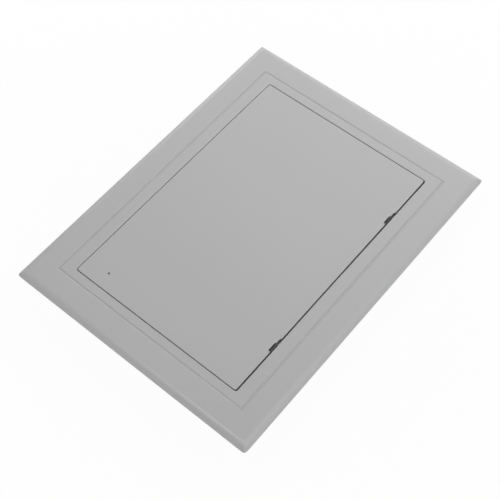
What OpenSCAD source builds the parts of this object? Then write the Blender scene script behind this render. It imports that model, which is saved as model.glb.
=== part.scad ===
// Hinged access panel: a flanged frame with a collar, a flush door on two pin hinges and two sprung catches.
// Sizes are in millimetres. X runs across the hinge side, Y along it and Z out of the front face.

/* [Opening] */
// Width of the door opening, across the hinge side
opening_w = 118.4; // [108:0.2:150]
// Length of the door opening, along the hinge side
opening_l = 172; // [160:0.5:220]
// Radius of the opening's corners
opening_r = 1.6; // [1:0.1:3]
// Softening of the opening's front edge
opening_soft = 0.25; // [0.1:0.05:0.4]

/* [Flange] */
// How far the flange reaches past the collar, on the long sides
flange_out_x = 11; // [8:0.1:20]
// How far the flange reaches past the collar, on the short sides
flange_out_y = 10.6; // [8:0.1:20]
// Height of the flange, from the wall to the face
flange_h = 3; // [2.9:0.1:6]
// Width of the rounded outer edge, seen from the front
edge_w = 5; // [4:0.1:6]
// How far the rounded outer edge drops
edge_drop = 2.75; // [2.2:0.05:2.8]
// Radius of the flange's corners, seen from the front
flange_r = 2; // [1:0.1:5]
// Thickness of the frame's face
face_t = 2; // [1.6:0.1:2.4]
// Width of the rim that lies on the wall
rim_w = 3.2; // [2.6:0.1:5]
// Thickness of the ribs under the flange
flange_rib_t = 1.4; // [1:0.1:2.5]
// Distance between the ribs under the flange
flange_rib_pitch = 36; // [25:1:60]
// How far those ribs stay back from the wall
flange_rib_back = 0.4; // [0.2:0.1:0.8]

/* [Groove] */
// Distance of the groove from the opening, on the long sides
groove_x = 8.15; // [5:0.05:11]
// Distance of the groove from the opening, on the short sides
groove_y = 5.75; // [4:0.05:11]
// Width of the groove
groove_w = 1.6; // [1.2:0.1:2.4]
// Depth of the groove
groove_d = 0.38; // [0.16:0.02:0.5]

/* [Collar] */
// Distance from the opening to the outside of the collar, on the long sides
ledge_x = 13.8; // [13:0.1:22]
// Distance from the opening to the outside of the collar, on the short sides
ledge_y = 12; // [11:0.1:22]
// Depth of the collar behind the wall's face
collar_h = 22.5; // [19:0.5:60]
// Thickness of the collar's wall
collar_t = 2; // [1.6:0.1:2.6]
// Radius of the collar's corners
collar_r = 5; // [4:0.1:8]
// Lead-in at the collar's rear end
lead_in = 0.8; // [0.4:0.1:1.2]
// How far the grip ribs stand out of the collar
grip_r = 0.9; // [0.5:0.1:1.5]
// Distance of the grip ribs from the collar's corners
grip_in = 18; // [12:0.5:30]
// Length of the grip ribs
grip_l = 16; // [8:0.5:17]
// Distance between the two fixing holes of a long side
fix_pitch = 120; // [90:1:130]
// Height of the fixing holes above the collar's rear end
fix_z = 8; // [5:0.5:9]
// Diameter of the fixing holes
fix_d = 4.5; // [3:0.1:5]

/* [Jamb] */
// Depth of the jamb, from the front face
jamb_h = 11.4; // [11:0.1:14]
// Thickness of the jamb
jamb_t = 1.8; // [1.6:0.1:2.4]
// How far the stop lip reaches inwards
lip_w = 2.5; // [2:0.1:3]
// Thickness of the stop lip
lip_t = 1.6; // [1.2:0.1:2]
// Thickness of the webs between jamb and collar
web_t = 1.6; // [1.2:0.1:2.4]
// Distance between the webs of a long side
web_pitch_y = 50; // [44:1:52]
// Distance between the webs of a short side
web_pitch_x = 36; // [30:1:45]

/* [Door] */
// Thickness of the door
door_t = 2.8; // [2.7:0.1:3.2]
// Gap along the door's free side
free_gap = 0.35; // [0.3:0.05:0.8]
// Gap along the door's hinge side
hinge_gap = 0.9; // [0.8:0.05:1.2]
// Gap at the door's ends
end_gap = 0.45; // [0.35:0.05:0.8]
// Radius of the door's corners
door_r = 1.3; // [0.8:0.1:3]
// Rounding of the door's front edge on three sides
door_soft = 0.35; // [0.2:0.05:0.5]
// Rounding of the door's front edge on the hinge side
hinge_soft = 0.4; // [0.3:0.05:0.45]
// How far the rib round the door's back stays in from the edge
rib_in = 0.8; // [0.6:0.1:1.5]
// How far that rib stays in from the hinge edge
rib_hinge_in = 3.6; // [3.4:0.1:6]
// Thickness of the ribs on the door's back
rib_t = 1.6; // [1.2:0.1:2.2]
// Height of the inner ribs on the door's back
inner_rib_h = 3.4; // [2:0.1:5]
// Distance between the long inner ribs
inner_rib_x = 40; // [24:1:60]
// Distance between the cross ribs
inner_rib_y = 38; // [30:1:42]
// Gap between the closed door's rib and the stop lip
rest_gap = 0.2; // [0.1:0.05:0.5]
// Diameter of the moulding mark on the door's face
mark_d = 1.5; // [0.8:0.1:2.5]
// Depth of the moulding mark
mark_depth = 0.8; // [0.2:0.05:1]
// Distance of the moulding mark from the door's free edge
mark_x = 16; // [8:0.5:24]
// Distance of the moulding mark from the door's end
mark_y = 9.3; // [6:0.1:16]

/* [Hinges] */
// Distance of each hinge's middle from the end of the opening
hinge_end = 34; // [28:0.2:40]
// Length of the notch in the door's edge
notch_l = 9.5; // [9:0.1:12]
// Length of the deep part of the notch
notch_deep_l = 5.9; // [5.5:0.1:6.5]
// Depth of the deep part of the notch
notch_deep = 1.4; // [1.3:0.05:1.6]
// Depth of the shallow part of the notch
notch_shallow = 0.7; // [0.5:0.05:0.8]
// Diameter of the hinge pins
pin_d = 0.9; // [0.8:0.05:0.9]
// How far each hinge pin reaches into the door on either side of the notch
pin_seat = 4; // [3:0.1:5]
// Distance of the hinge axis in from the door's hinge edge
pin_in = 0.5; // [0.45:0.05:0.6]
// Distance of the hinge axis behind the front face
pin_deep = 1.05; // [1.05:0.05:1.15]
// Clearance round the hinge pin in the clip's hook
pin_fit = 0.05; // [0.03:0.01:0.06]
// Wall of the hook round the pin
hook_t = 0.45; // [0.35:0.05:0.45]
// Angle of the hook's mouth, through which the pin snaps in
mouth_angle = 100; // [80:5:110]
// Direction of the middle of the mouth, up from the hinge side
mouth_turn = 150; // [140:5:155]
// Clearance between the hook and the door
hook_gap = 0.2; // [0.15:0.01:0.25]
// Clearance at either end of the hook
hook_end_gap = 0.3; // [0.2:0.05:0.5]
// How far the top of the clip's neck stays below the front face
neck_deep = 0.8; // [0.75:0.05:1.2]
// Thickness of the clip's front and rear plates
clip_t = 1; // [0.8:0.1:1.2]
// How far the plates reach past the jamb's slot on either side
clip_wing = 1.8; // [1.2:0.1:2.5]

/* [Catches] */
// Distance of each catch's middle from the end of the opening
catch_end = 34; // [30:0.2:39]
// Outer diameter of the catch barrel
barrel_d = 5.2; // [4.8:0.1:5.6]
// Length of the catch barrel
barrel_l = 13; // [12:0.5:18]
// Wall of the catch barrel
barrel_t = 0.5; // [0.4:0.05:0.6]
// Thickness of the barrel's mouth
mouth_t = 0.8; // [0.6:0.1:1.2]
// Diameter of the bolt's nose
nose_d = 3.2; // [2.8:0.1:3.4]
// How far the bolt reaches into the jamb
bolt_reach = 1.4; // [1:0.1:1.6]
// Length of the bolt's body
bolt_l = 4; // [3:0.1:4.5]
// Clearance round the sliding bolt
bolt_fit = 0.05; // [0.03:0.01:0.08]
// Length of the end plug inside the barrel
plug_l = 2; // [1.5:0.1:2.4]
// Thickness of the end plug's head
plug_head_t = 0.8; // [0.6:0.1:1.5]
// Diameter of the spring's wire
wire_d = 0.44; // [0.3:0.02:0.5]
// Diameter of the spring, through the wire's middle
spring_d = 2.7; // [2.5:0.05:3]
// Number of turns of the spring
spring_turns = 6; // [4:1:7]
// Wall of the door's housing round the barrel
housing_t = 1.2; // [1:0.1:1.6]

/* [Strike plates] */
// Length of a strike plate, along the hinge side
strike_l = 15; // [14:0.5:20]
// Height of a strike plate
strike_h = 6.2; // [5.6:0.1:6.4]
// Thickness of a strike plate
strike_t = 0.8; // [0.6:0.1:1]
// Diameter of the hole for the bolt
strike_hole_d = 4.2; // [4:0.1:4.6]
// Distance between the two screws of a strike plate
strike_pitch = 10; // [9.4:0.1:11]
// Diameter of the screws' heads
screw_head_d = 3.6; // [3.2:0.1:4]
// Diameter of the screws' shanks
screw_d = 2; // [1.8:0.1:2.4]
// Length of the screws
screw_l = 4.6; // [3.6:0.1:5]
// Depth of the block that holds the screws, behind the jamb
block_d = 3.6; // [3.2:0.1:5]

/* [Hidden] */
$fn = 64;
// Clearance round a piece that is pressed into its seat
seat_fit = 0.02;
// Overlap that joins two regions of one moulding
join = 0.5;
// Overrun of a cut past a face
cut = 1;
// Room round the bolt behind the strike plate's hole
hole_room = 0.6;
// How far the screw block reaches past either end of the strike plate
block_over = 1;
// Length and end of the screws' points, and width and depth of their crossed recess
point_l = 0.8;
point_d = 0.6;
recess_w = 0.45;
recess_deep = 0.35;
// How far the hinge clip's front plate stays below the door's plate
ear_drop = 1.2;
// Share of the pin that its seat's open side lets through, so that the pin snaps in
snap = 0.8;
// Floor of the moulding mark, as a share of its diameter
mark_floor = 0.3;
// Clearance of the spigots inside the spring, their lengths, and the spring's end clearance
spigot_fit = 0.25;
bolt_spigot_l = 1.4;
plug_spigot_l = 1.1;
spring_fit = 0.03;

half_x = opening_w / 2;
half_y = opening_l / 2;
collar_x = half_x + ledge_x;
collar_y = half_y + ledge_y;
flange_x = collar_x + flange_out_x;
flange_y = collar_y + flange_out_y;
face_z = collar_h + flange_h;
plate_z = face_z - face_t;
edge_r = (edge_w * edge_w + edge_drop * edge_drop) / (2 * edge_drop);
jamb_z = face_z - jamb_h;
lip_z = jamb_z + lip_t;

door_x0 = -half_x + free_gap;
door_x1 = half_x - hinge_gap;
door_y = half_y - end_gap;
door_z = face_z - door_t;
rib_z = lip_z + rest_gap;
rib_x0 = door_x0 + rib_in;
rib_x1 = door_x1 - rib_hinge_in;
rib_y = door_y - rib_in;

hinge_y = half_y - hinge_end;
axis_x = door_x1 - pin_in;
axis_z = face_z - pin_deep;
hook_r = pin_d / 2 + pin_fit + hook_t;
relief_r = hook_r + hook_gap;
clip_l = notch_deep_l - 2 * hook_end_gap;
clip_offset = (notch_deep_l - notch_l) / 2;

catch_y = half_y - catch_end;
catch_z = (rib_z + door_z) / 2;
bore_r = barrel_d / 2 - barrel_t;
shoulder_x = rib_x0 + mouth_t;
bolt_end_x = shoulder_x + bolt_l;
barrel_end_x = rib_x0 + barrel_l;
plug_x = barrel_end_x - plug_l;
spigot_r = spring_d / 2 - wire_d / 2 - spigot_fit;
housing_w = barrel_d + 2 * housing_t;
recess_l = screw_head_d * 0.6;
block_l = strike_l + 2 * block_over;

ABS = [0.70, 0.70, 0.70];
STEEL = [0.55, 0.56, 0.58];
ACETAL = [0.20, 0.20, 0.21];
BRASS = [0.72, 0.60, 0.33];

// Rectangle with rounded corners, given by its half sizes
module round_rect(hx, hy, r) {
    square([2 * hx - 2 * r, 2 * hy], center = true);
    square([2 * hx, 2 * hy - 2 * r], center = true);
    for (sx = [-1, 1], sy = [-1, 1]) translate([sx * (hx - r), sy * (hy - r)]) circle(r);
}

// Slab with rounded corners between two heights
module slab(hx, hy, r, z0, z1) {
    translate([0, 0, z0]) linear_extrude(z1 - z0) round_rect(hx, hy, r);
}

// Slab whose outline grows by the flare from its bottom to its top
module flared_slab(hx, hy, r, z0, z1, flare) {
    h = z1 - z0;
    translate([0, 0, z0]) {
        translate([0, hy - r, 0]) rotate([90, 0, 0]) linear_extrude(2 * hy - 2 * r)
            polygon([[-hx, 0], [hx, 0], [hx + flare, h], [-hx - flare, h]]);
        translate([-hx + r, 0, 0]) rotate([90, 0, 90]) linear_extrude(2 * hx - 2 * r)
            polygon([[-hy, 0], [hy, 0], [hy + flare, h], [-hy - flare, h]]);
        for (sx = [-1, 1], sy = [-1, 1]) translate([sx * (hx - r), sy * (hy - r), 0])
            cylinder(h = h, r1 = r, r2 = r + flare);
    }
}

// Cross-section with rounded upper corners, from u0 to u1 and from the base up to h
module soft_section(u0, u1, h, r0, r1) {
    mid = (u0 + u1) / 2;
    translate([u0 + r0, 0]) square([u1 - u0 - r0 - r1, h]);
    translate([u0, 0]) square([mid - u0, h - r0]);
    translate([mid, 0]) square([u1 - mid, h - r1]);
    translate([u0 + r0, h - r0]) circle(r0);
    translate([u1 - r1, h - r1]) circle(r1);
}

// Section of the flange's front: flat, with an arc at either end that drops towards the outer edge
module crown_section(u) {
    flat_u = u - edge_w;
    translate([-flat_u, flange_h - 2 * edge_r]) square([2 * flat_u, 2 * edge_r]);
    for (s = [-1, 1]) translate([s * flat_u, flange_h - edge_r]) circle(edge_r);
}

// Frame: outside of the flange, whose rounded edges meet in mitres at the corners
module flange_body() {
    intersection() {
        translate([0, flange_y, collar_h]) rotate([90, 0, 0]) linear_extrude(2 * flange_y)
            crown_section(flange_x);
        translate([-flange_x, 0, collar_h]) rotate([90, 0, 90]) linear_extrude(2 * flange_x)
            crown_section(flange_y);
        slab(flange_x, flange_y, flange_r, collar_h, face_z);
    }
}

// Frame: hollow under the flange, between the rim and the collar
module flange_hollow() {
    difference() {
        slab(flange_x - rim_w, flange_y - rim_w, flange_r, collar_h - cut, plate_z);
        slab(collar_x - join, collar_y - join, collar_r - join, collar_h - 2 * cut, plate_z + cut);
    }
}

// Frame: ribs that stiffen the flange from behind
module flange_ribs() {
    h = plate_z - collar_h - flange_rib_back + join;
    reach_x = flange_out_x - rim_w + 2 * join;
    reach_y = flange_out_y - rim_w + 2 * join;
    mid_x = collar_x + reach_x / 2 - join;
    mid_y = collar_y + reach_y / 2 - join;
    translate([0, 0, plate_z + join - h / 2]) for (s = [-1, 1]) {
        for (i = [-2 : 2]) translate([s * mid_x, i * flange_rib_pitch, 0])
            cube([reach_x, flange_rib_t, h], center = true);
        for (i = [-1.5 : 1.5]) translate([i * flange_rib_pitch, s * mid_y, 0])
            cube([flange_rib_t, reach_y, h], center = true);
    }
}

// Frame: collar with a lead-in at its rear end
module collar_ring() {
    top = plate_z + join;
    difference() {
        intersection() {
            slab(collar_x, collar_y, collar_r, 0, top);
            flared_slab(collar_x - lead_in, collar_y - lead_in, collar_r - lead_in, 0, top, top);
        }
        slab(collar_x - collar_t, collar_y - collar_t, collar_r - collar_t, -cut, plate_z + cut);
        for (s = [-1, 1]) translate([0, s * fix_pitch / 2, fix_z]) rotate([0, 90, 0])
            cylinder(h = 2 * collar_x + 2 * cut, d = fix_d, center = true);
    }
}

// Frame: upright ribs that grip the sides of the cut-out
module grip_ribs() {
    for (s = [-1, 1], t = [-1, 1]) {
        translate([s * collar_x, t * (collar_y - grip_in), collar_h - grip_l])
            cylinder(h = grip_l + join, r = grip_r);
        translate([t * (collar_x - grip_in), s * collar_y, collar_h - grip_l])
            cylinder(h = grip_l + join, r = grip_r);
    }
}

// Frame: jamb round the opening with the stop lip at its rear end
module jamb_ring() {
    difference() {
        slab(half_x + jamb_t, half_y + jamb_t, opening_r + jamb_t, jamb_z, plate_z + join);
        slab(half_x, half_y, opening_r, lip_z, face_z + cut);
        slab(half_x - lip_w, half_y - lip_w, opening_r, jamb_z - cut, face_z);
    }
}

// Frame: webs that tie the jamb to the collar
module frame_webs() {
    h = plate_z + join - jamb_z;
    len_x = ledge_x - collar_t - jamb_t + 2 * join;
    len_y = ledge_y - collar_t - jamb_t + 2 * join;
    mid_x = half_x + jamb_t - join + len_x / 2;
    mid_y = half_y + jamb_t - join + len_y / 2;
    translate([0, 0, jamb_z + h / 2]) for (s = [-1, 1]) {
        for (i = [-1.5 : 1.5]) translate([s * mid_x, i * web_pitch_y, 0])
            cube([len_x, web_t, h], center = true);
        for (i = [-1 : 1]) translate([i * web_pitch_x, s * mid_y, 0])
            cube([web_t, len_y, h], center = true);
    }
}

// Frame: round-bottomed groove in the face, round the opening
module face_groove() {
    gx = half_x + groove_x;
    gy = half_y + groove_y;
    r = (groove_w * groove_w / 4 + groove_d * groove_d) / (2 * groove_d);
    translate([0, 0, face_z - groove_d + r]) for (s = [-1, 1]) {
        translate([s * gx, 0, 0]) rotate([90, 0, 0]) cylinder(h = 2 * gy, r = r, center = true);
        translate([0, s * gy, 0]) rotate([0, 90, 0]) cylinder(h = 2 * gx, r = r, center = true);
        for (t = [-1, 1]) translate([s * gx, t * gy, 0]) sphere(r);
    }
}

// Frame: slot in the jamb and the stop lip that takes one hinge clip
module clip_slot(s) {
    slot_l = clip_l + 2 * seat_fit;
    wing_l = slot_l + 2 * clip_wing;
    translate([half_x - lip_w - cut, s * hinge_y + clip_offset, jamb_z - cut]) {
        translate([0, -slot_l / 2, 0]) cube([lip_w + jamb_t + 2 * cut, slot_l, plate_z - jamb_z + cut]);
        translate([0, -wing_l / 2, 0]) cube([lip_w + cut, wing_l, lip_t + 2 * cut]);
    }
}

// Frame: block behind the jamb that takes the screws of one strike plate
module strike_block(s) {
    h = plate_z + join - jamb_z;
    translate([-half_x - jamb_t - block_d / 2 + join / 2, s * catch_y, jamb_z + h / 2])
        cube([block_d + join, block_l, h], center = true);
}

// Frame: pocket, bolt hole and screw holes of one strike plate
module strike_cut(s) {
    translate([-half_x, s * catch_y, catch_z]) {
        translate([-strike_t / 2 + cut / 2, 0, 0])
            cube([strike_t + cut, strike_l + 2 * seat_fit, strike_h + 2 * seat_fit], center = true);
        translate([-jamb_t - block_d - cut, 0, 0]) rotate([0, 90, 0])
            cylinder(h = jamb_t + block_d + 2 * cut, d = strike_hole_d + hole_room);
        for (t = [-1, 1]) translate([-screw_l, t * strike_pitch / 2, 0]) rotate([0, 90, 0])
            cylinder(h = screw_l, d = screw_d + 2 * seat_fit);
    }
}

module frame() {
    color(ABS) difference() {
        union() {
            difference() {
                flange_body();
                flange_hollow();
                slab(half_x, half_y, opening_r, collar_h - cut, face_z + cut);
                flared_slab(half_x, half_y, opening_r,
                    face_z - opening_soft, face_z + opening_soft, 2 * opening_soft);
                slab(collar_x - collar_t, collar_y - collar_t, collar_r - collar_t, collar_h - cut, plate_z);
            }
            collar_ring();
            grip_ribs();
            flange_ribs();
            jamb_ring();
            frame_webs();
            for (s = [-1, 1]) strike_block(s);
        }
        face_groove();
        for (s = [-1, 1]) strike_cut(s);
        for (s = [-1, 1]) clip_slot(s);
    }
}

// Hinge clip that grips the jamb between two plates, with an open hook that the door's pin snaps into
module hinge_clip(s) {
    wide = clip_l + 2 * clip_wing;
    front_x = half_x - seat_fit;
    rear_x = half_x + jamb_t + seat_fit;
    ear_z = door_z - ear_drop;
    color(ACETAL) translate([0, s * hinge_y + clip_offset, 0]) difference() {
        union() {
            translate([front_x - clip_t, -clip_l / 2, jamb_z])
                cube([jamb_t + 2 * clip_t + 2 * seat_fit, clip_l, plate_z - seat_fit - jamb_z]);
            translate([front_x - clip_t, -wide / 2, jamb_z]) cube([clip_t, wide, ear_z - jamb_z]);
            translate([rear_x, -wide / 2, jamb_z]) cube([clip_t, wide, plate_z - seat_fit - jamb_z]);
            translate([axis_x, -clip_l / 2, ear_z])
                cube([front_x - axis_x, clip_l, face_z - neck_deep - ear_z]);
            translate([axis_x, 0, axis_z]) rotate([90, 0, 0]) cylinder(h = clip_l, r = hook_r, center = true);
        }
        translate([axis_x, 0, axis_z]) rotate([90, 0, 0]) {
            cylinder(h = clip_l + 2 * cut, r = pin_d / 2 + pin_fit, center = true);
            linear_extrude(clip_l + 2 * cut, center = true) polygon([
                [0, 0],
                for (t = [-0.5 : 0.5 : 0.5])
                    let (turn = mouth_turn + t * mouth_angle) [3 * hook_r * cos(turn), 3 * hook_r * sin(turn)]
            ]);
        }
    }
}

module hinge_clip_upper() {
    hinge_clip(1);
}

module hinge_clip_lower() {
    hinge_clip(-1);
}

// Strike plate with the hole for the bolt and two countersunk screw holes
module strike_plate(s) {
    color(STEEL) translate([-half_x, s * catch_y, catch_z]) difference() {
        translate([-strike_t / 2, 0, 0]) cube([strike_t, strike_l, strike_h], center = true);
        translate([-strike_t - cut, 0, 0]) rotate([0, 90, 0])
            cylinder(h = strike_t + 2 * cut, d = strike_hole_d);
        for (t = [-1, 1]) translate([-strike_t, t * strike_pitch / 2, 0]) rotate([0, 90, 0])
            cylinder(h = strike_t, d1 = screw_d + 2 * seat_fit, d2 = screw_head_d + 2 * seat_fit);
    }
}

module strike_plate_upper() {
    strike_plate(1);
}

module strike_plate_lower() {
    strike_plate(-1);
}

// Countersunk screws of both strike plates, with a crossed recess
module strike_plate_screws() {
    color(STEEL) for (s = [-1, 1], t = [-1, 1])
        translate([-half_x, s * catch_y + t * strike_pitch / 2, catch_z]) rotate([0, 90, 0]) difference() {
            union() {
                translate([0, 0, -strike_t]) cylinder(h = strike_t, d1 = screw_d, d2 = screw_head_d);
                translate([0, 0, -screw_l + point_l]) cylinder(h = screw_l - strike_t - point_l, d = screw_d);
                translate([0, 0, -screw_l]) cylinder(h = point_l, d1 = point_d, d2 = screw_d);
            }
            cube([recess_l, recess_w, 2 * recess_deep], center = true);
            cube([recess_w, recess_l, 2 * recess_deep], center = true);
        }
}

// Door: plate with softened front edges
module door_plate() {
    mid_x = (door_x0 + door_x1) / 2;
    intersection() {
        translate([0, door_y, door_z]) rotate([90, 0, 0]) linear_extrude(2 * door_y)
            soft_section(door_x0, door_x1, door_t, door_soft, hinge_soft);
        translate([door_x0, 0, door_z]) rotate([90, 0, 90]) linear_extrude(door_x1 - door_x0)
            soft_section(-door_y, door_y, door_t, door_soft, door_soft);
        translate([mid_x, 0, 0]) slab((door_x1 - door_x0) / 2, door_y, door_r, door_z, face_z);
    }
}

// Door: rib round the back and the inner ribs
module door_ribs() {
    mid_x = (rib_x0 + rib_x1) / 2;
    hx = (rib_x1 - rib_x0) / 2;
    translate([mid_x, 0, 0]) {
        difference() {
            slab(hx, rib_y, door_r, rib_z, door_z + join);
            slab(hx - rib_t, rib_y - rib_t, door_r, rib_z - cut, door_z + 2 * cut);
        }
        for (s = [-1, 1]) translate([s * inner_rib_x / 2, 0, door_z - inner_rib_h / 2 + join / 2])
            cube([rib_t, 2 * rib_y - rib_t, inner_rib_h + join], center = true);
        for (i = [-1 : 1]) translate([0, i * inner_rib_y, door_z - inner_rib_h / 2 + join / 2])
            cube([2 * hx - rib_t, rib_t, inner_rib_h + join], center = true);
    }
}

// Door: stepped notch of one hinge, with the room that the clip's hook and neck need
module hinge_notch(s) {
    low = s * hinge_y - notch_l / 2;
    back = door_z - cut;
    translate([door_x1 - notch_deep, low, back]) cube([notch_deep + cut, notch_deep_l, door_t + 2 * cut]);
    translate([door_x1 - notch_shallow, low, back]) cube([notch_shallow + cut, notch_l, door_t + 2 * cut]);
    translate([axis_x, low + notch_deep_l, axis_z]) rotate([90, 0, 0])
        cylinder(h = notch_deep_l, r = relief_r);
    translate([axis_x - relief_r, low, back]) cube([2 * relief_r, notch_deep_l, axis_z - back]);
}

// Door: seat of one hinge pin, open at the hinge edge so that the pin snaps in
module pin_seat_cut(s) {
    len = notch_l + 2 * pin_seat;
    slot = pin_d * snap;
    translate([axis_x, s * hinge_y, axis_z]) {
        rotate([90, 0, 0]) cylinder(h = len + 2 * seat_fit, d = pin_d + 2 * seat_fit, center = true);
        translate([0, -len / 2 - seat_fit, -slot / 2]) cube([pin_in + cut, len + 2 * seat_fit, slot]);
    }
}

// Door: housing of one catch barrel
module catch_housing(s) {
    translate([rib_x0 + rib_t / 2, s * catch_y - housing_w / 2, rib_z])
        cube([barrel_l - rib_t / 2, housing_w, door_z + join - rib_z]);
}

module door() {
    color(ABS) difference() {
        union() {
            door_plate();
            door_ribs();
            for (s = [-1, 1]) catch_housing(s);
        }
        for (s = [-1, 1]) hinge_notch(s);
        for (s = [-1, 1]) pin_seat_cut(s);
        for (s = [-1, 1]) translate([rib_x0 - cut, s * catch_y, catch_z]) rotate([0, 90, 0])
            cylinder(h = barrel_l + 2 * cut, d = barrel_d + 2 * seat_fit);
        translate([door_x0 + mark_x, mark_y - door_y, face_z - mark_depth])
            cylinder(h = 2 * mark_depth, d1 = mark_d * mark_floor, d2 = mark_d * (2 - mark_floor));
    }
}

// Hinge pin, held by the door and turning in the clip's hook
module hinge_pin(s) {
    color(STEEL) translate([axis_x, s * hinge_y, axis_z]) rotate([90, 0, 0])
        cylinder(h = notch_l + 2 * pin_seat, d = pin_d, center = true);
}

module hinge_pin_upper() {
    hinge_pin(1);
}

module hinge_pin_lower() {
    hinge_pin(-1);
}

// Catch barrel with a narrowed mouth
module catch_barrel(s) {
    color(ACETAL) translate([rib_x0, s * catch_y, catch_z]) rotate([0, 90, 0]) difference() {
        cylinder(h = barrel_l, d = barrel_d);
        translate([0, 0, mouth_t]) cylinder(h = barrel_l, r = bore_r);
        translate([0, 0, -cut]) cylinder(h = barrel_l, d = nose_d + 2 * bolt_fit);
    }
}

module catch_barrel_upper() {
    catch_barrel(1);
}

module catch_barrel_lower() {
    catch_barrel(-1);
}

// Catch bolt with a domed nose, a shoulder behind the mouth and a spigot for the spring
module catch_bolt(s) {
    nose_l = shoulder_x + half_x + bolt_reach;
    color(BRASS) translate([shoulder_x, s * catch_y, catch_z]) rotate([0, 90, 0]) {
        translate([0, 0, nose_d / 2 - nose_l]) cylinder(h = nose_l - nose_d / 2 + join, d = nose_d);
        translate([0, 0, nose_d / 2 - nose_l]) sphere(d = nose_d);
        cylinder(h = bolt_l, r = bore_r - bolt_fit);
        cylinder(h = bolt_l + bolt_spigot_l, r = spigot_r);
    }
}

module catch_bolt_upper() {
    catch_bolt(1);
}

module catch_bolt_lower() {
    catch_bolt(-1);
}

// Coil spring between the bolt and the end plug
module catch_spring(s) {
    sides = 8;
    steps = 20 * spring_turns;
    gap = wire_d / 2 + spring_fit;
    len = plug_x - bolt_end_x - 2 * gap;
    points = [
        for (i = [0 : steps], k = [0 : sides - 1])
            let (turn = 360 * spring_turns * i / steps, side = 360 * k / sides,
                 rad = spring_d / 2 + wire_d / 2 * cos(side))
            [bolt_end_x + gap + len * i / steps + wire_d / 2 * sin(side), rad * cos(turn), rad * sin(turn)]
    ];
    walls = [
        for (i = [0 : steps - 1], k = [0 : sides - 1])
            let (n = (k + 1) % sides)
            [i * sides + k, i * sides + n, (i + 1) * sides + n, (i + 1) * sides + k]
    ];
    ends = [
        [for (k = [sides - 1 : -1 : 0]) k],
        [for (k = [0 : sides - 1]) steps * sides + k]
    ];
    color(STEEL) translate([0, s * catch_y, catch_z]) polyhedron(points, concat(walls, ends), convexity = 10);
}

module catch_spring_upper() {
    catch_spring(1);
}

module catch_spring_lower() {
    catch_spring(-1);
}

// End plug of the catch barrel, with a head and a spigot for the spring
module catch_plug(s) {
    color(ACETAL) translate([plug_x, s * catch_y, catch_z]) rotate([0, 90, 0]) {
        translate([0, 0, -plug_spigot_l]) cylinder(h = plug_spigot_l + join, r = spigot_r);
        cylinder(h = plug_l + join, r = bore_r - seat_fit);
        translate([0, 0, plug_l]) cylinder(h = plug_head_t, d = barrel_d);
    }
}

module catch_plug_upper() {
    catch_plug(1);
}

module catch_plug_lower() {
    catch_plug(-1);
}

frame();
hinge_clip_upper();
hinge_clip_lower();
strike_plate_upper();
strike_plate_lower();
strike_plate_screws();
door();
hinge_pin_upper();
hinge_pin_lower();
catch_barrel_upper();
catch_barrel_lower();
catch_bolt_upper();
catch_bolt_lower();
catch_spring_upper();
catch_spring_lower();
catch_plug_upper();
catch_plug_lower();
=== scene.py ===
import bmesh
import bpy
import numpy as np
from mathutils import Matrix, Vector


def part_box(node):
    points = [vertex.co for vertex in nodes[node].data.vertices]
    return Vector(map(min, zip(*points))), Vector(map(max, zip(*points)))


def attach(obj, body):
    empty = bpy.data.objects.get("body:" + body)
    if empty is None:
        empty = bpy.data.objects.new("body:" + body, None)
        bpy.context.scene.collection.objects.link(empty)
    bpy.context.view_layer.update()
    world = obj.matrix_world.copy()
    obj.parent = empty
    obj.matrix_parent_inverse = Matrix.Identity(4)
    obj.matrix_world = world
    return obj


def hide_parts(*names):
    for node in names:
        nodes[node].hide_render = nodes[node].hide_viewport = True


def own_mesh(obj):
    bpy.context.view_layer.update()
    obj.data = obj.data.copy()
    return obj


# Hinged access panel lying face up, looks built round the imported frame.
# Everything is in metres: x towards the hinge side, y along it, z out of the face.

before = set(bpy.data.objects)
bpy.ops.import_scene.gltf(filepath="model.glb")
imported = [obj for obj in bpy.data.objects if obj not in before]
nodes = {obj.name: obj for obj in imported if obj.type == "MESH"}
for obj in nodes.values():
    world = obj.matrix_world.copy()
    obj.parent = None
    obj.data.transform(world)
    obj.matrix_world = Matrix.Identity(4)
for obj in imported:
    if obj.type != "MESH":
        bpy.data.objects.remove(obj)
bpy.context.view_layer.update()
scene = bpy.context.scene
scene.view_settings.view_transform = "Standard"

# Camera at the photograph's viewing angle: its place and the directions of its picture's right and top
eye = {
    "place": (0.22223, -0.24439, 0.54266),
    "right": (0.76675, 0.64118, -0.03128),
    "up": (-0.53652, 0.66682, 0.51720),
    "lens": 76.9,
    "sensor": 36.0,
    "clip": (0.01, 20.0),
}


def placeCamera(spec):
    right, up = Vector(spec["right"]).normalized(), Vector(spec["up"]).normalized()
    back = right.cross(up).normalized()
    up = back.cross(right)
    data = bpy.data.cameras.new("panelCamera")
    data.lens, data.sensor_width = spec["lens"], spec["sensor"]
    data.clip_start, data.clip_end = spec["clip"]
    camera = bpy.data.objects.new("panelCamera", data)
    turn = Matrix((right, up, back)).transposed().to_4x4()
    camera.matrix_world = Matrix.Translation(spec["place"]) @ turn
    scene.collection.objects.link(camera)
    scene.camera = camera


placeCamera(eye)
print("camera placed")


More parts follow.
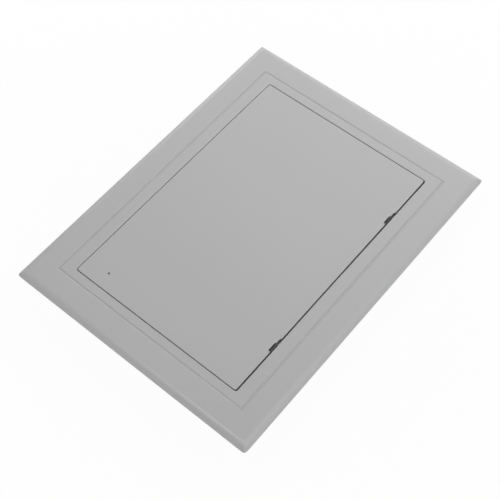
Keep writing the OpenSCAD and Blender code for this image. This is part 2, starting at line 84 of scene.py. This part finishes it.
class Wire:
    # a value in a shader: operators add Math nodes, node() adds any other node
    def __init__(self, tree, socket=None):
        self.tree, self.socket = tree, socket

    def node(self, kind, settings=None, inputs=None, out=0):
        made = self.tree.nodes.new(kind)
        for name, value in (settings or {}).items():
            if name == "stops":  # a ramp's stops: (place, grey)
                ramp = made.color_ramp
                while len(ramp.elements) < len(value):
                    ramp.elements.new(0.5)
                for stop, (at, shade) in zip(ramp.elements, value):
                    stop.position, stop.color = at, grey(shade)
            else:
                setattr(made, name, value)
        for key, value in (inputs or {}).items():
            if isinstance(value, Wire):
                self.tree.links.new(value.socket, made.inputs[key])
            else:
                made.inputs[key].default_value = value
        return Wire(self.tree, made.outputs[out])

    def math(self, operation, a, b=0.0):
        return self.node("ShaderNodeMath", {"operation": operation}, {0: a, 1: b})

    def __add__(self, other):
        return self.math("ADD", self, other)

    def __sub__(self, other):
        return self.math("SUBTRACT", self, other)

    def __rsub__(self, other):
        return self.math("SUBTRACT", other, self)

    def __mul__(self, other):
        return self.math("MULTIPLY", self, other)

    def __truediv__(self, other):
        return self.math("DIVIDE", self, other)

    def __rtruediv__(self, other):
        return self.math("DIVIDE", other, self)

    def __abs__(self):
        return self.math("ABSOLUTE", self)

    __radd__, __rmul__ = __add__, __mul__

    def above(self, other):  # 1 where this value is the greater one, else 0
        return self.math("GREATER_THAN", self, other)

    def below(self, other):  # 1 where this value is the smaller one, else 0
        return self.math("LESS_THAN", self, other)

    def within(self, low, high):  # 0 up to low, 1 from high on, straight between them
        return self.math("MINIMUM", self.math("MAXIMUM", (self - low) / (high - low), 0.0), 1.0)

    def swing(self, reach):  # a value of 0 to 1 made to run this far below and above nothing
        return (self - 0.5) * (2 * reach)

    def axis(self, letter):  # one coordinate of a place
        return self.node("ShaderNodeSeparateXYZ", {}, {0: self}, letter)

    def mix(self, a, b):  # colour a where this value is 0, b where it is 1; sockets 6, 7 and 2 are colours
        return self.node("ShaderNodeMix", {"data_type": "RGBA"}, {0: self, 6: a, 7: b}, 2)

    def ramp(self, *stops):
        return self.node("ShaderNodeValToRGB", {"stops": stops}, {0: self})

    def noise(self, cells, detail=2.0, rough=0.5):  # cells to a metre, one number or one for each axis
        place, scale = self, cells
        if not np.isscalar(cells):
            place, scale = self.node("ShaderNodeMapping", {}, {"Vector": self, "Scale": cells}), 1.0
        wanted = {"Vector": place, "Scale": scale, "Detail": detail, "Roughness": rough}
        return self.node("ShaderNodeTexNoise", {}, wanted)


def startFinish(name, constants):
    # a material with one principled shader, its fixed values set on its own sockets
    material = bpy.data.materials.new(name)
    material.use_nodes = True
    tree = material.node_tree
    shader = tree.nodes["Principled BSDF"]
    for key, value in constants.items():
        shader.inputs[key].default_value = value
    where = Wire(tree).node("ShaderNodeTexCoord", {}, {}, "Object")
    return material, shader, where


def feed(shader, **sockets):
    for key, value in sockets.items():
        target = shader.inputs[key.replace("_", " ")]
        value.tree.links.new(value.socket, target)


def bumped(height, depth, strength):
    # normal of a surface whose height runs 0 to 1 over this many metres
    wanted = {"Height": height, "Distance": depth, "Strength": strength}
    return height.node("ShaderNodeBump", {}, wanted)


def grey(level, tint=(1.0, 1.0, 1.0)):
    return tuple(level * t for t in tint) + (1.0,)


# Moulded plastic of frame and door: spark-eroded grain, slow flow mottling, a few dark specks
moulding = {
    "level": 0.427,  # linear grey of the clean surface
    "flowCells": (9.0, 5.0, 9.0),  # slow mottling, drawn out along y
    "flow": 0.012,  # how far it lightens and darkens the surface
    "cloudCells": 120.0,  # finer mottling
    "cloud": 0.006,
    "grain": 3600.0,  # grains to a metre, about 0.28 mm each
    "bump": (0.000012, 0.6),  # depth and strength of the grain
    "rough": 0.40,
    "scuffCells": (60.0, 14.0, 60.0),
    "scuffGloss": 0.05,  # how far scuffs change the roughness, and how far the grain does
    "grainGloss": 0.03,
    "speckCells": 95.0,  # cells to a metre; few of them hold a speck
    "speckSize": 0.045,
    "speckDark": 0.28,
    "patchCells": 31.0,  # specks come in patches of a slow noise:
    "patch": (0.66, 0.70),  # none below the first level, all above the second
    "shine": {"IOR": 1.5, "Specular IOR Level": 0.5},
}

# Painted shade in the small moulding mark on the door's face, darkening its pit
markPaintedShade = {"place": (-0.04285, -0.07625, 0.0252), "core": 0.0007, "rim": 0.0010, "left": 0.62}

# Painted shade along the groove in the flange, darkest on the free side
groovePaintedShade = {
    "half": (0.06735, 0.09175),  # middle of the groove, along x and along y
    "face": (0.0240, 0.0244),  # it lies on the face, above these heights
    "core": 0.0003,
    "rim": 0.0009,
    "leftFree": 0.88,  # share of the colour that it leaves along the free side,
    "leftHinge": 0.93,  # along the hinge side
    "leftShort": 0.98,  # and along the short sides
}


# Painted shade: the share of the colour left, least at the core and all of it from the rim on
def shadedShare(away, spec, left):  # share of the colour: what is left at the core, all of it from the rim on
    return away.within(spec["core"], spec["rim"]) * (1 - left) + left


# Painted shade in the mark's pit, by the distance from its middle
def markShade(where, paintedShadeSpec):  # by the distance from the mark's middle
    ends = {0: where, 1: paintedShadeSpec["place"]}
    away = where.node("ShaderNodeVectorMath", {"operation": "DISTANCE"}, ends, "Value")
    return shadedShare(away, paintedShadeSpec, paintedShadeSpec["left"])


# Painted shade along the flange groove, a darkening that stands in for the groove's shading
def grooveShade(where, grooveShadeSpec):  # by the distance from the sides of the rectangle that the groove makes
    x, y = [abs(where.axis(letter)) - half for letter, half in zip("XY", grooveShadeSpec["half"])]
    hinge = where.axis("X").above(0.0)
    long = hinge * (grooveShadeSpec["leftHinge"] - grooveShadeSpec["leftFree"]) + grooveShadeSpec["leftFree"]
    short = y.above(x)
    left = short * grooveShadeSpec["leftShort"] + (1 - short) * long
    behind = 1 - where.axis("Z").within(*grooveShadeSpec["face"])
    away = abs(where.math("MAXIMUM", x, y)) + behind * grooveShadeSpec["rim"]
    return shadedShare(away, grooveShadeSpec, left)


def mouldedFinish(name, spec, paintedShadeOf, paintedShadeSpec):
    material, shader, where = startFinish(name, spec["shine"])
    flow = where.noise(spec["flowCells"], detail=3.0)
    cloud = where.noise(spec["cloudCells"])
    tone = flow.swing(spec["flow"]) + cloud.swing(spec["cloud"]) + 1.0
    cells = where.node("ShaderNodeTexVoronoi", {}, {"Vector": where, "Scale": spec["speckCells"]})
    speck = cells.ramp((0.0, 1.0), (spec["speckSize"], 0.0))
    few, many = spec["patch"]
    seldom = where.noise(spec["patchCells"], detail=0.0).ramp((few, 0.0), (many, 1.0))
    # the colour is scaled down by the painted shade of the groove or of the mark
    shade = (tone - speck * seldom * spec["speckDark"]) * paintedShadeOf(where, paintedShadeSpec)
    tinted = {0: (spec["level"],) * 3, "Scale": shade}
    colour = where.node("ShaderNodeVectorMath", {"operation": "SCALE"}, tinted)
    grain = where.noise(spec["grain"], rough=0.6)
    scuff = where.noise(spec["scuffCells"], detail=4.0, rough=0.65)
    gloss = scuff.swing(spec["scuffGloss"]) + grain.swing(spec["grainGloss"]) + spec["rough"]
    feed(shader, Base_Color=colour, Roughness=gloss, Normal=bumped(grain, *spec["bump"]))
    return material


# Dark moulded acetal of clips, barrels and plugs
acetal = {
    "level": 0.075,
    "swirlCells": (220.0, 90.0, 220.0),
    "dark": 0.9,  # shares of the level between which the swirl runs
    "light": 1.12,
    "lightTint": (1.0, 1.0, 1.03),
    "grain": 2600.0,
    "bump": (0.000008, 0.5),
    "rough": 0.42,
    "grainGloss": 0.05,
    "shine": {"IOR": 1.48},
}

# Painted shade on the clips' hooks, darkest towards the door and gone from here on along x
hookPaintedShade = {"fade": (0.0576, 0.0592), "left": 0.16}


def acetalFinish(name, spec, shadeRamp=None):
    material, shader, where = startFinish(name, spec["shine"])
    level = spec["level"]
    swirl = where.noise(spec["swirlCells"], detail=4.0, rough=0.6)
    colour = swirl.mix(grey(level * spec["dark"]), grey(level * spec["light"], spec["lightTint"]))
    # painted shade on the hooks, darkest at small x beside the gap to the door
    if shadeRamp:
        unshaded = where.axis("X").within(*shadeRamp["fade"])
        colour = unshaded.mix(grey(level * shadeRamp["left"]), colour)
    grain = where.noise(spec["grain"])
    gloss = grain.swing(spec["grainGloss"]) + spec["rough"]
    feed(shader, Base_Color=colour, Roughness=gloss, Normal=bumped(grain, *spec["bump"]))
    return material


# Zinc-plated steel of strike plates and screws: brushed along y, with a faint passivated tint
zinc = {
    "low": (0.50, 0.51, 0.53, 1.0),
    "high": (0.66, 0.66, 0.65, 1.0),
    "bloomCells": 420.0,
    "strokeCells": (9000.0, 160.0, 9000.0),
    "bump": (0.000004, 0.6),
    "rough": 0.20,  # least roughness, to which strokes and bloom add
    "strokeGloss": 0.16,
    "bloomGloss": 0.08,
    "shine": {"Metallic": 1.0},
}


def zincFinish(name, spec):
    material, shader, where = startFinish(name, spec["shine"])
    strokes = where.noise(spec["strokeCells"], detail=3.0, rough=0.6)
    bloom = where.noise(spec["bloomCells"])
    colour = bloom.mix(spec["low"], spec["high"])
    gloss = strokes * spec["strokeGloss"] + bloom * spec["bloomGloss"] + spec["rough"]
    feed(shader, Base_Color=colour, Roughness=gloss, Normal=bumped(strokes, *spec["bump"]))
    return material


# Blackened steel of the hinge pins: a dull oxide that thins to grey in streaks along y
blackened = {
    "dark": 0.012,
    "worn": 0.05,
    "wornTint": (1.0, 0.97, 0.94),
    "streakCells": (5000.0, 300.0, 5000.0),
    "bump": (0.000003, 0.5),
    "rough": 0.5,
    "streakGloss": 0.1,
    "shine": {"Metallic": 0.4},
}


def blackenedFinish(name, spec):
    material, shader, where = startFinish(name, spec["shine"])
    streaks = where.noise(spec["streakCells"], detail=3.0)
    colour = streaks.mix(grey(spec["dark"]), grey(spec["worn"], spec["wornTint"]))
    gloss = streaks.swing(spec["streakGloss"]) + spec["rough"]
    feed(shader, Base_Color=colour, Roughness=gloss, Normal=bumped(streaks, *spec["bump"]))
    return material


# Bright drawn wire of the springs
drawnWire = {
    "level": 0.52,
    "dark": 0.86,  # shares of the level between which it varies
    "light": 1.1,
    "lightTint": (1.0, 0.99, 0.97),
    "cells": 2600.0,
    "rough": 0.24,  # least roughness
    "gloss": 0.18,
    "shine": {"Metallic": 1.0},
}


def wireFinish(name, spec):
    material, shader, where = startFinish(name, spec["shine"])
    level = spec["level"]
    drawn = where.noise(spec["cells"], detail=3.0)
    colour = drawn.mix(grey(level * spec["dark"]), grey(level * spec["light"], spec["lightTint"]))
    feed(shader, Base_Color=colour, Roughness=drawn * spec["gloss"] + spec["rough"])
    return material


# Turned brass of the catch bolts: fine rings round the bolt's x axis, light tarnish
brass = {
    "bright": (0.72, 0.53, 0.22, 1.0),
    "dull": (0.46, 0.32, 0.13, 1.0),
    "ringCells": (14000.0, 120.0, 120.0),
    "bump": (0.000005, 0.5),
    "tarnishCells": 700.0,
    "tarnish": (0.42, 0.72),  # levels of the noise at which it starts and is full
    "tarnishShare": 0.55,
    "rough": 0.22,  # least roughness, to which rings and tarnish add
    "ringGloss": 0.14,
    "tarnishGloss": 0.18,
    "shine": {"Metallic": 1.0},
}


def brassFinish(name, spec):
    material, shader, where = startFinish(name, spec["shine"])
    rings = where.noise(spec["ringCells"])
    start, full = spec["tarnish"]
    tarnish = where.noise(spec["tarnishCells"], detail=4.0, rough=0.6).ramp((start, 0.0), (full, 1.0))
    colour = (tarnish * spec["tarnishShare"]).mix(spec["bright"], spec["dull"])
    gloss = rings * spec["ringGloss"] + tarnish * spec["tarnishGloss"] + spec["rough"]
    feed(shader, Base_Color=colour, Roughness=gloss, Normal=bumped(rings, *spec["bump"]))
    return material


# Finish of every CAD node, by how its name starts; the screws take the strike plates' one
finishes = {
    "frame": mouldedFinish("satinFrame", moulding, grooveShade, groovePaintedShade),
    "door": mouldedFinish("satinDoor", moulding, markShade, markPaintedShade),
    "hinge_clip": acetalFinish("darkAcetal", acetal, hookPaintedShade),
    "strike_plate": zincFinish("zincSteel", zinc),
    "hinge_pin": blackenedFinish("blackPin", blackened),
    "catch_barrel": acetalFinish("barrelAcetal", acetal),
    "catch_bolt": brassFinish("turnedBrass", brass),
    "catch_spring": wireFinish("springWire", drawnWire),
    "catch_plug": acetalFinish("plugAcetal", acetal),
}


def dress(part, material):
    part.data.materials.clear()
    part.data.materials.append(material)


for name, part in nodes.items():
    kind = next(k for k in finishes if name.startswith(k))
    dress(part, finishes[kind])
print("finishes:", len(finishes))


def gridFaces(rows, columns, closed):
    # quads of a grid of points, row by row; closed joins the last column to the first
    i = np.arange(rows - 1)[:, None]
    j = np.arange(columns if closed else columns - 1)[None, :]
    k = (j + 1) % columns
    corners = [i * columns + j, i * columns + k, (i + 1) * columns + k, (i + 1) * columns + j]
    return np.stack([np.broadcast_to(c, (rows - 1, j.size)) for c in corners], -1).reshape(-1, 4)


mergeReach = 1e-8  # points nearer than this are one point


def newPiece(name, points, faces, material, smooth=True):
    mesh = bpy.data.meshes.new(name)
    mesh.from_pydata(points.tolist(), [], [list(f) for f in faces])
    shape = bmesh.new()
    shape.from_mesh(mesh)
    bmesh.ops.remove_doubles(shape, verts=shape.verts, dist=mergeReach)  # closes poles
    shape.to_mesh(mesh)
    shape.free()
    mesh.polygons.foreach_set("use_smooth", np.full(len(mesh.polygons), smooth))
    mesh.update()
    piece = bpy.data.objects.new(name, mesh)
    scene.collection.objects.link(piece)
    dress(piece, material)
    return piece


# Catch springs: closed end coils, open coils between them
coil = {
    "turns": 7.0,
    "endTurns": 1.0,
    "endPitch": 0.12,  # pitch at the very ends, as a share of the open coils' pitch
    "wireRadius": 0.00022,
    "radius": 0.00135,
    "stepsToTurn": 40,
    "sides": 12,
    "travel": 0.0021,  # how far the bolt pushes it together
}


def springCoil(name, node, spec):
    # a circle carried along a helix round x, whose pitch eases from the closed ends
    # to its full size between them
    low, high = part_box(node)
    middleY, middleZ = (low.y + high.y) / 2, (low.z + high.z) / 2
    rows = int(spec["turns"] * spec["stepsToTurn"]) + 1
    turn = np.linspace(0, spec["turns"], rows)
    ease = np.clip(np.minimum(turn, spec["turns"] - turn) / spec["endTurns"], 0, 1)
    pitch = spec["endPitch"] + (1 - spec["endPitch"]) * ease * ease * (3 - 2 * ease)
    climb = np.concatenate([[0], np.cumsum((pitch[1:] + pitch[:-1]) / 2)])
    start, stop = low.x + spec["wireRadius"], high.x - spec["wireRadius"]
    along = start + (stop - start) * climb / climb[-1]
    angle = 2 * np.pi * turn[:, None]
    side = np.linspace(0, 2 * np.pi, spec["sides"], endpoint=False)[None, :]
    reach = spec["radius"] + spec["wireRadius"] * np.cos(side)
    x = along[:, None] + spec["wireRadius"] * np.sin(side)
    y = middleY + reach * np.cos(angle)
    z = middleZ + reach * np.sin(angle)
    points = np.stack([x, y, z], -1).reshape(-1, 3)
    ring = np.arange(spec["sides"])
    faces = [f[::-1] for f in gridFaces(rows, spec["sides"], True)]
    faces += [ring, ring[::-1] + (rows - 1) * spec["sides"]]  # flat ends
    piece = newPiece(name, points, faces, finishes["catch_spring"])
    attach(piece, "door")
    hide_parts(node)
    return piece


for end in ("upper", "lower"):
    node = "catch_spring_" + end
    spring = springCoil("spring_coil_" + end, node, coil)
    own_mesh(spring)
print("springs wound")

# Round marks that the ejector pins leave on the door's back, and the gate's stub in the middle
ejectors = {
    "columns": (-0.0385, -0.0016, 0.0345),
    "rows": (-0.0620, -0.0190, 0.0190, 0.0620),
    "gate": (-0.0116, 0.0110),
    "backZ": 0.0227,  # the door's back face
    # radius and height in millimetres, from the middle out
    "profile": ((0.0, 0.03), (2.05, 0.03), (2.25, 0.10), (2.42, 0.10), (2.55, -0.05)),
    "gateProfile": ((0.0, 0.55), (0.55, 0.55), (0.8, 0.42), (1.1, 0.12), (2.1, 0.10), (2.3, -0.05)),
    "sides": 40,
}
millimetre = 0.001


def turnedMark(spec, profile, x, y):
    # a profile of radius and height turned about z, standing down from the door's back
    # and closed behind it
    p = np.array((*profile, (0.0, profile[-1][1]))) * millimetre
    around = np.linspace(0, 2 * np.pi, spec["sides"], endpoint=False)
    px = x + p[:, :1] * np.cos(around)
    py = y + p[:, :1] * np.sin(around)
    pz = np.broadcast_to(spec["backZ"] - p[:, 1:], px.shape)
    return np.stack([px, py, pz], -1).reshape(-1, 3), gridFaces(len(p), spec["sides"], True)


def ejectorMarks(spec):
    points, faces, count = [], [], 0
    spots = [(x, y, spec["profile"]) for x in spec["columns"] for y in spec["rows"]]
    spots.append((*spec["gate"], spec["gateProfile"]))
    for x, y, profile in spots:
        p, f = turnedMark(spec, profile, x, y)
        points.append(p)
        faces.append(f + count)
        count += len(p)
    points, faces = np.concatenate(points), np.concatenate(faces)
    piece = newPiece("ejector_marks", points, faces, finishes["door"])
    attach(piece, "door")


ejectorMarks(ejectors)
print("ejector marks set")

# Floor that the collar stands on: white to the camera, with a light shadow that fades away from
# the panel; inside the collar it shows partly as plain paper in the panel's own shade, along the
# walls and most of all under the hinges
ground = {
    "half": 2.0,
    "drop": 0.0001,  # how far it lies under the collar
    "albedo": 0.82,
    "shadowShare": 0.04,
    "fade": (0.12, 0.34),  # distances from the middle between which the shadow fades
    "collar": (0.0715, 0.0965),  # half the width and length of the floor inside the collar
    "wall": ((0.022, 0.046), (0.048, 0.074)),  # shade grows from none to full, along x and along y
    "wallShare": 0.40,
    "hingeY": 0.0545,  # distance along y, both ways, at which the shade is deepest on the hinge side
    "hingeReach": (0.016, 0.046),  # the added depth falls from full to none this far from there
    "hingeShare": 0.90,
}


def inView(start):
    # 1 for what the camera, a mirror or glass sees, 0 for the light that falls on things
    path = [start.node("ShaderNodeLightPath", {}, {}, "Is " + ray + " Ray")
            for ray in ("Camera", "Glossy", "Transmission")]
    return start.math("MINIMUM", path[0] + path[1] + path[2], 1.0)


def collarShade(where, spec):
    # share of the floor inside the collar that shows as plain paper
    x, y = where.axis("X"), where.axis("Y")
    across, along = abs(x), abs(y)
    inside = across.below(spec["collar"][0]) * along.below(spec["collar"][1])
    wallX, wallY = spec["wall"]
    clear = (1 - across.within(*wallX)) * (1 - along.within(*wallY))
    near = 1 - abs(along - spec["hingeY"]).within(*spec["hingeReach"])
    deeper = near * x.within(0.0, wallX[0]) * (spec["hingeShare"] - spec["wallShare"])
    return inside * (1 - clear) * (deeper + spec["wallShare"])


def layFloor(spec):
    ends = np.array((-spec["half"], spec["half"]))
    u, v = np.meshgrid(ends, ends)
    points = np.stack([u, v, np.full_like(u, -spec["drop"])], -1).reshape(-1, 3)
    material = bpy.data.materials.new("paleFloor")
    material.use_nodes = True
    tree = material.node_tree
    tree.nodes.clear()
    start = Wire(tree)
    where = start.node("ShaderNodeTexCoord", {}, {}, "Object")
    away = where.node("ShaderNodeVectorMath", {"operation": "LENGTH"}, {0: where}, "Value")
    shadow = (1 - away.within(*spec["fade"])) * spec["shadowShare"]
    share = inView(start) * (1 - shadow) * (1 - collarShade(where, spec))
    paper = start.node("ShaderNodeBsdfDiffuse", {}, {"Color": grey(spec["albedo"])})
    glow = start.node("ShaderNodeEmission", {}, {"Color": grey(1.0), "Strength": 1.0})
    both = start.node("ShaderNodeMixShader", {}, {0: share, 1: paper, 2: glow})
    output = tree.nodes.new("ShaderNodeOutputMaterial")
    tree.links.new(both.socket, output.inputs["Surface"])
    floor = newPiece("floor", points, gridFaces(2, 2, False), material, False)


layFloor(ground)
print("floor laid")

# Room: white, bright near the horizon, most of all beyond the hinge side, and dim overhead
room = {"horizon": 2.04, "falloff": 4.0, "lean": 1.0}  # level at the horizon, how fast it fades upwards

# Lamps: two broad ones beyond the +y end, one beside the free side, two high ones whose soft
# reflections run along the rounded edge near the corner in front, and two weak ones near the floor
# that lighten the rounded edge on the free side and on the near end
lamps = {
    "backLamp": {"place": (-0.067, 0.767, 0.385), "size": 0.70, "power": 0.98},
    "overLamp": {"place": (0.000, 0.354, 0.447), "size": 0.60, "power": 1.34},
    "frontLamp": {"place": (-0.074, -0.274, 0.580), "size": 0.20, "power": 1.18},
    "hingeLamp": {"place": (0.498, 0.096, 0.678), "size": 0.26, "power": 0.85},
    "freeLamp": {"place": (-0.400, 0.205, 0.215), "size": 0.40, "power": 0.42},
    "lowLamp": {"place": (-0.420, 0.300, 0.120), "size": 0.30, "power": 0.28},
    "sillLamp": {"place": (-0.030, -0.420, 0.100), "size": 0.26, "power": 0.085},
}
aimPoint = (0.0, 0.0, 0.0255)  # middle of the panel's face


def lightRoom(spec):
    world = bpy.data.worlds.new("whiteRoom")
    scene.world = world
    world.use_nodes = True
    tree = world.node_tree
    start = Wire(tree)
    background = tree.nodes["Background"]
    background.inputs["Color"].default_value = grey(1.0)
    facing = start.node("ShaderNodeTexCoord", {}, {}, "Generated")
    height = start.math("MAXIMUM", facing.axis("Z"), 0.0)
    lean = facing.axis("X") * spec["lean"] + 1.0
    level = start.math("POWER", 1 - height, spec["falloff"]) * lean * spec["horizon"]
    seen = inView(start)
    feed(background, Strength=seen + (1 - seen) * level)


def hangLamp(name, spec):
    data = bpy.data.lights.new(name, "AREA")
    data.shape, data.size, data.energy = "DISK", spec["size"], spec["power"]
    lamp = bpy.data.objects.new(name, data)
    lamp.location = spec["place"]
    aim = Vector(aimPoint) - Vector(spec["place"])
    lamp.rotation_mode = "QUATERNION"
    lamp.rotation_quaternion = aim.to_track_quat("-Z", "Y")
    lamp.visible_camera = False
    scene.collection.objects.link(lamp)


lightRoom(room)
for name, spec in lamps.items():
    hangLamp(name, spec)
print("lights hung")
